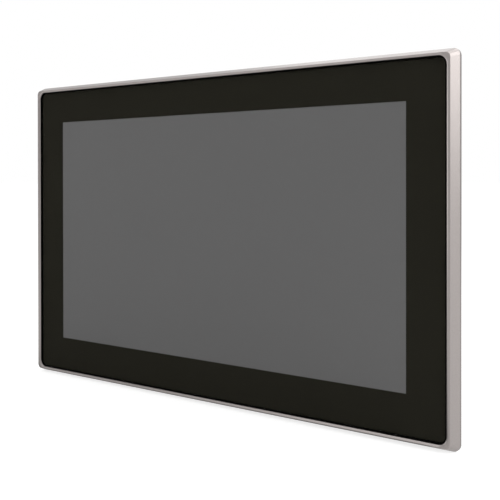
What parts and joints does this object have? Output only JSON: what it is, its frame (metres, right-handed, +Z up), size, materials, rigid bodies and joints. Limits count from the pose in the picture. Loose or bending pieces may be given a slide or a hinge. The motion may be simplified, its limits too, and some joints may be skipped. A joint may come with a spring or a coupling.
{
  "type": "hmi touch panel",
  "caption": "Panel-mount touch display with a black-bordered flush glass in a silver bezel, a steel rear housing, a finned heat sink cover, downward ports and screw clamps.",
  "frame": {"origin": "middle of the gasket face that seats on the front of the cabinet panel", "axes": "+X to the right seen from the front, +Y from the front glass to the back, +Z up"},
  "size_m": [0.415, 0.0684, 0.26],
  "materials": {
    "bezel_aluminium": "fine satin anodised",
    "cover_glass": "anti-reflective coated",
    "border_ink": "printed behind the glass",
    "sensor_glass": "clear",
    "black_foam": "closed-cell foam",
    "seal_rubber": "moulded",
    "sheet_steel": "plain pressed sheet",
    "display_glass": "matt polariser, switched off",
    "white_plastic": "moulded",
    "clear_acrylic": "polished edges",
    "circuit_board": "solder mask",
    "flex_film": "polyimide",
    "cable_sheath": "flat cable",
    "housing_steel": "fine textured powder coat",
    "cast_black": "black anodised casting",
    "zinc_screws": "zinc plated",
    "brass_parts": "bare",
    "port_shells": "nickel plated",
    "port_blue": "moulded",
    "inlet_green": "moulded",
    "black_plastic": "moulded",
    "chip_epoxy": "moulded",
    "socket_plastic": "moulded",
    "silicone_pad": "soft",
    "clamp_zinc": "zinc casting",
    "foot_rubber": "moulded"
  },
  "bodies": {
    "panel": {"front_bezel": "bezel_aluminium", "cover_glass": "cover_glass", "border_print": "border_ink", "touch_sensor": "sensor_glass", "glass_tape": "black_foam", "dust_seal": "black_foam", "panel_gasket": "seal_rubber", "lcd_frame": "sheet_steel", "lcd_cell": "display_glass", "lcd_carrier": "white_plastic", "optical_films": "white_plastic", "light_guide": "clear_acrylic", "led_bar": "white_plastic", "lcd_back_plate": "sheet_steel", "timing_board": "circuit_board", "lcd_straps": "sheet_steel", "touch_board": "circuit_board", "touch_flex": "flex_film", "display_cable": "cable_sheath", "rear_housing": "housing_steel", "housing_screws": "zinc_screws", "press_nuts": "zinc_screws", "earth_screw": "brass_parts", "mainboard": "circuit_board", "board_standoffs": "brass_parts", "pan_screws": "zinc_screws", "processor": "chip_epoxy", "thermal_pad": "silicone_pad", "card_sockets": "socket_plastic", "memory_module": "circuit_board", "storage_module": "circuit_board", "coin_cell": "port_shells", "board_components": "chip_epoxy", "heatsink_cover": "cast_black", "cover_screws": "zinc_screws", "port_plate": "sheet_steel", "com_ports": "port_shells", "port_pins": "brass_parts", "com_jackscrews": "zinc_screws", "lan_ports": "port_shells", "usb_ports": "port_shells", "usb_tongues": "port_blue", "dc_socket": "inlet_green", "power_switch": "black_plastic", "clamp_brackets": "clamp_zinc"},
    "power_button": {"power_button": "black_plastic"},
    "reset_button": {"reset_button": "black_plastic"},
    "clamp_foot_1": {"clamp_foot_1": "foot_rubber"},
    "clamp_screw_1": {"clamp_screw_1": "zinc_screws"},
    "clamp_foot_2": {"clamp_foot_2": "foot_rubber"},
    "clamp_screw_2": {"clamp_screw_2": "zinc_screws"},
    "clamp_foot_3": {"clamp_foot_3": "foot_rubber"},
    "clamp_screw_3": {"clamp_screw_3": "zinc_screws"},
    "clamp_foot_4": {"clamp_foot_4": "foot_rubber"},
    "clamp_screw_4": {"clamp_screw_4": "zinc_screws"},
    "clamp_foot_5": {"clamp_foot_5": "foot_rubber"},
    "clamp_screw_5": {"clamp_screw_5": "zinc_screws"},
    "clamp_foot_6": {"clamp_foot_6": "foot_rubber"},
    "clamp_screw_6": {"clamp_screw_6": "zinc_screws"}
  },
  "joints": [
    {"name": "power_press", "type": "slide", "parent": "panel", "child": "power_button", "axis": [0, 0, 1], "range_m": [0, 0.001], "stiffness_N_per_m": 2500, "springref_m": -0.0004},
    {"name": "reset_press", "type": "slide", "parent": "panel", "child": "reset_button", "axis": [0, 0, 1], "range_m": [0, 0.0005], "stiffness_N_per_m": 3000, "springref_m": -0.0002},
    {"name": "clamp_1_advance", "type": "slide", "parent": "panel", "child": "clamp_foot_1", "axis": [0, -1, 0], "range_m": [0, 0.007]},
    {"name": "clamp_1_turn", "type": "hinge", "parent": "clamp_foot_1", "child": "clamp_screw_1", "pos_m": [-0.14, 0.012, 0.1243], "axis": [0, -1, 0], "range_deg": [0, 3600]},
    {"name": "clamp_2_advance", "type": "slide", "parent": "panel", "child": "clamp_foot_2", "axis": [0, -1, 0], "range_m": [0, 0.007]},
    {"name": "clamp_2_turn", "type": "hinge", "parent": "clamp_foot_2", "child": "clamp_screw_2", "pos_m": [0, 0.012, 0.1243], "axis": [0, -1, 0], "range_deg": [0, 3600]},
    {"name": "clamp_3_advance", "type": "slide", "parent": "panel", "child": "clamp_foot_3", "axis": [0, -1, 0], "range_m": [0, 0.007]},
    {"name": "clamp_3_turn", "type": "hinge", "parent": "clamp_foot_3", "child": "clamp_screw_3", "pos_m": [0.14, 0.012, 0.1243], "axis": [0, -1, 0], "range_deg": [0, 3600]},
    {"name": "clamp_4_advance", "type": "slide", "parent": "panel", "child": "clamp_foot_4", "axis": [0, -1, 0], "range_m": [0, 0.007]},
    {"name": "clamp_4_turn", "type": "hinge", "parent": "clamp_foot_4", "child": "clamp_screw_4", "pos_m": [-0.14, 0.012, -0.1243], "axis": [0, -1, 0], "range_deg": [0, 3600]},
    {"name": "clamp_5_advance", "type": "slide", "parent": "panel", "child": "clamp_foot_5", "axis": [0, -1, 0], "range_m": [0, 0.007]},
    {"name": "clamp_5_turn", "type": "hinge", "parent": "clamp_foot_5", "child": "clamp_screw_5", "pos_m": [0, 0.012, -0.1243], "axis": [0, -1, 0], "range_deg": [0, 3600]},
    {"name": "clamp_6_advance", "type": "slide", "parent": "panel", "child": "clamp_foot_6", "axis": [0, -1, 0], "range_m": [0, 0.007]},
    {"name": "clamp_6_turn", "type": "hinge", "parent": "clamp_foot_6", "child": "clamp_screw_6", "pos_m": [0.14, 0.012, -0.1243], "axis": [0, -1, 0], "range_deg": [0, 3600]}
  ],
  "couplings": [
    {"joint": "clamp_1_turn", "follows": "clamp_1_advance", "rad_per_m": 8976},
    {"joint": "clamp_2_turn", "follows": "clamp_2_advance", "rad_per_m": 8976},
    {"joint": "clamp_3_turn", "follows": "clamp_3_advance", "rad_per_m": 8976},
    {"joint": "clamp_4_turn", "follows": "clamp_4_advance", "rad_per_m": 8976},
    {"joint": "clamp_5_turn", "follows": "clamp_5_advance", "rad_per_m": 8976},
    {"joint": "clamp_6_turn", "follows": "clamp_6_advance", "rad_per_m": 8976}
  ]
}
